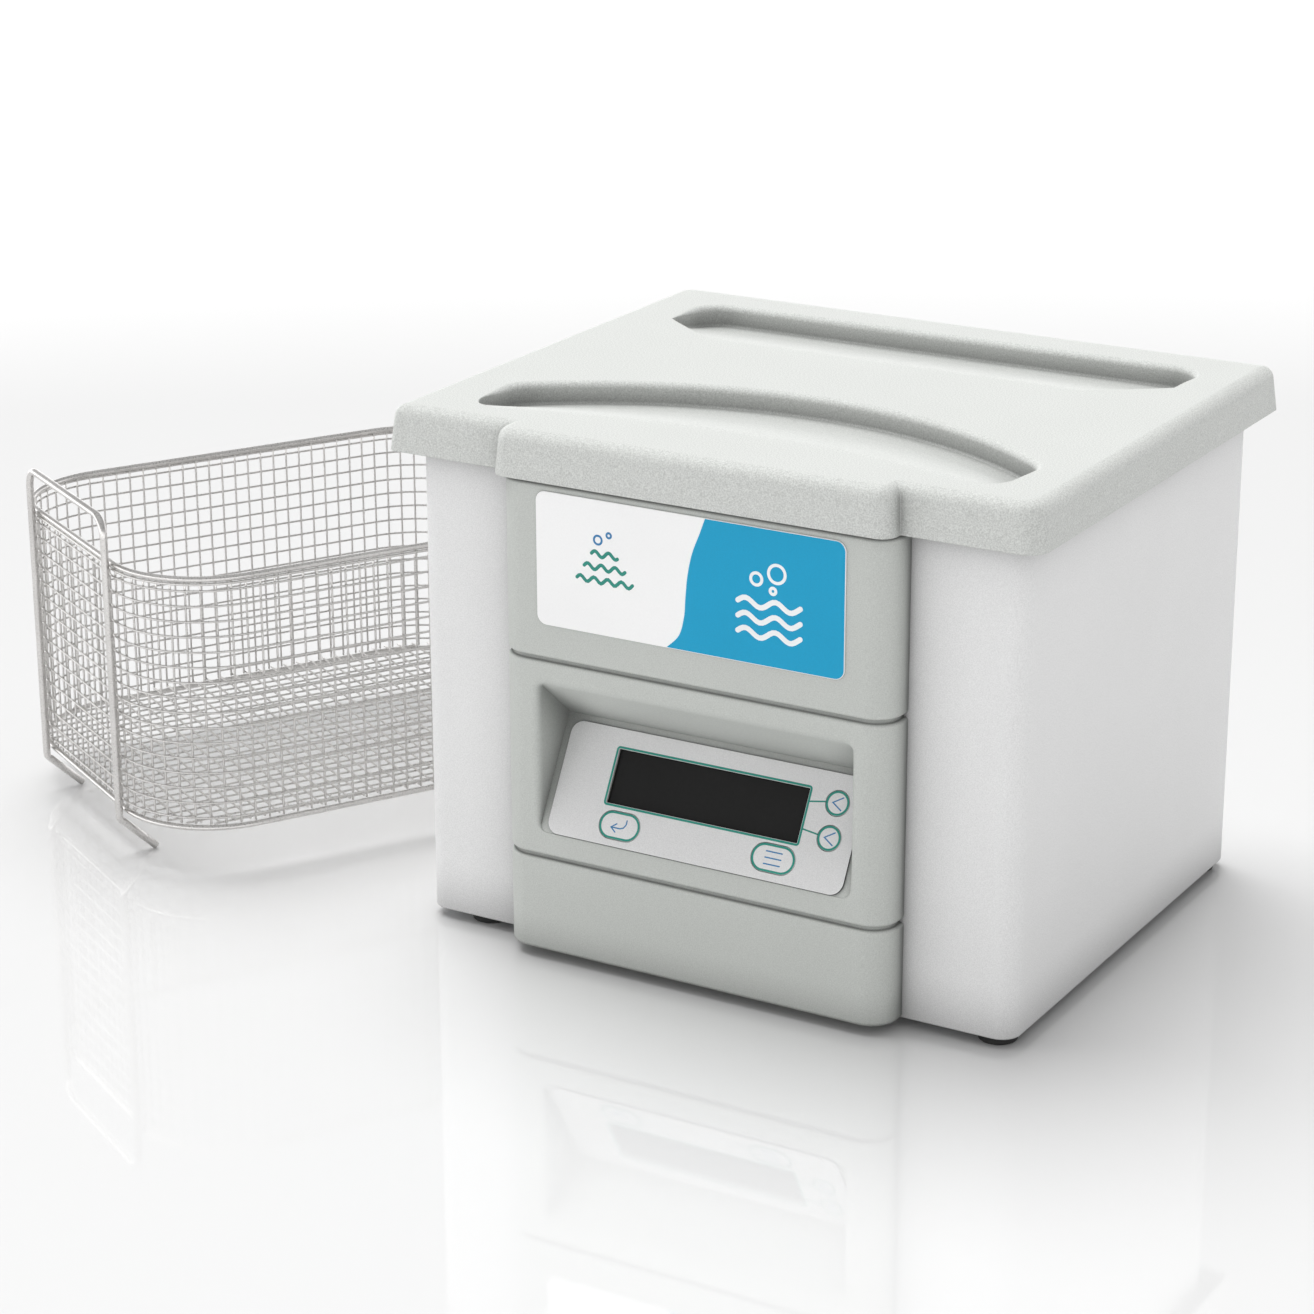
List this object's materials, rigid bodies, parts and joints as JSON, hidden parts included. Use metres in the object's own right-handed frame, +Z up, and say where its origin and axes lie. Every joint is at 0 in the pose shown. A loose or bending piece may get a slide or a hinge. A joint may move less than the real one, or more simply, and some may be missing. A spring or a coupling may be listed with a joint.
{
  "type": "ultrasonic cleaner",
  "caption": "Benchtop ultrasonic cleaner: box housing with a tilted control panel, steel tank under a loose lid, and its wire basket standing beside it.",
  "frame": {"origin": "centre of the footprint of the machine and its basket together, at the level of the bench", "axes": "+X from the basket on the left to the machine on the right as seen from the front, -Y out of the front with the control panel, +Z up"},
  "size_m": [0.6304, 0.306, 0.2646],
  "materials": {
    "housing": "fine-textured white powder coat",
    "fascia": "light grey-green textured moulding",
    "lid": "off-white speckled textured moulding",
    "label": "white and blue printed film, plain shapes only",
    "membrane": "silver-grey matt film with a dark outline",
    "key": "silver-grey key tops with plain glyphs",
    "window": "black window",
    "display": "dark display module",
    "pcb": "green laminate",
    "tank_steel": "satin drawn stainless",
    "wire_steel": "bright stainless wire",
    "zinc": "zinc-plated steel",
    "aluminium": "machined",
    "ceramic": "ceramic rings and contact plates",
    "rubber": "black rubber",
    "gasket": "black foam strip",
    "heater": "silicone heating mat",
    "black_plastic": "black moulding",
    "core": "ferrite core and winding",
    "capacitor": "sleeved can",
    "pin": "plated contact"
  },
  "bodies": {
    "housing": {"housing_body": "housing", "base_plate": "zinc", "foot_front_left": "rubber", "foot_screw_front_left": "zinc", "foot_front_right": "rubber", "foot_screw_front_right": "zinc", "foot_rear_left": "rubber", "foot_screw_rear_left": "zinc", "foot_rear_right": "rubber", "foot_screw_rear_right": "zinc", "fascia": "fascia", "label_panel": "label", "control_membrane": "membrane", "display_window": "window", "display_module": "display", "control_board": "pcb", "tank": "tank_steel", "tank_gasket": "gasket", "transducer_front_left_front_mass": "aluminium", "transducer_front_left_piezo_stack": "ceramic", "transducer_front_left_back_mass": "zinc", "transducer_front_left_bolt": "zinc", "transducer_front_right_front_mass": "aluminium", "transducer_front_right_piezo_stack": "ceramic", "transducer_front_right_back_mass": "zinc", "transducer_front_right_bolt": "zinc", "transducer_rear_left_front_mass": "aluminium", "transducer_rear_left_piezo_stack": "ceramic", "transducer_rear_left_back_mass": "zinc", "transducer_rear_left_bolt": "zinc", "transducer_rear_right_front_mass": "aluminium", "transducer_rear_right_piezo_stack": "ceramic", "transducer_rear_right_back_mass": "zinc", "transducer_rear_right_bolt": "zinc", "heater_pad_left": "heater", "heater_pad_right": "heater", "temperature_sensor": "black_plastic", "generator_board": "pcb", "heat_sink": "aluminium", "power_transistors": "black_plastic", "output_transformer": "core", "mains_filter_choke": "core", "bulk_capacitor": "capacitor", "power_inlet": "black_plastic", "power_switch_frame": "black_plastic", "inlet_pin_line": "pin", "inlet_pin_neutral": "pin", "inlet_pin_earth": "pin"},
    "lid": {"lid": "lid"},
    "basket": {"basket_mesh": "wire_steel", "basket_rim_wire": "wire_steel", "basket_base_wire": "wire_steel", "basket_handle_near": "wire_steel", "basket_handle_far": "wire_steel"},
    "key_enter": {"key_enter": "key"},
    "key_menu": {"key_menu": "key"},
    "key_select_upper": {"key_select_upper": "key"},
    "key_select_lower": {"key_select_lower": "key"},
    "power_rocker": {"power_rocker": "black_plastic"}
  },
  "joints": [
    {"name": "lid_lift", "type": "slide", "parent": "housing", "child": "lid", "axis": [0, 0, 1], "range_m": [0, 0.2]},
    {"name": "basket_lift", "type": "slide", "parent": "housing", "child": "basket", "axis": [0, 0, 1], "range_m": [0, 0.3]},
    {"name": "key_enter_press", "type": "slide", "parent": "housing", "child": "key_enter", "axis": [0, 0.8746, -0.4848], "range_m": [0, 0.0008], "stiffness_N_per_m": 1500, "springref_m": -0.0004},
    {"name": "key_menu_press", "type": "slide", "parent": "housing", "child": "key_menu", "axis": [0, 0.8746, -0.4848], "range_m": [0, 0.0008], "stiffness_N_per_m": 1500, "springref_m": -0.0004},
    {"name": "key_select_upper_press", "type": "slide", "parent": "housing", "child": "key_select_upper", "axis": [0, 0.8746, -0.4848], "range_m": [0, 0.0008], "stiffness_N_per_m": 1500, "springref_m": -0.0004},
    {"name": "key_select_lower_press", "type": "slide", "parent": "housing", "child": "key_select_lower", "axis": [0, 0.8746, -0.4848], "range_m": [0, 0.0008], "stiffness_N_per_m": 1500, "springref_m": -0.0004},
    {"name": "power_rocker_tilt", "type": "hinge", "parent": "housing", "child": "power_rocker", "pos_m": [0.08262, 0.12964, 0.044], "axis": [1, 0, 0], "range_deg": [0, 20]}
  ]
}
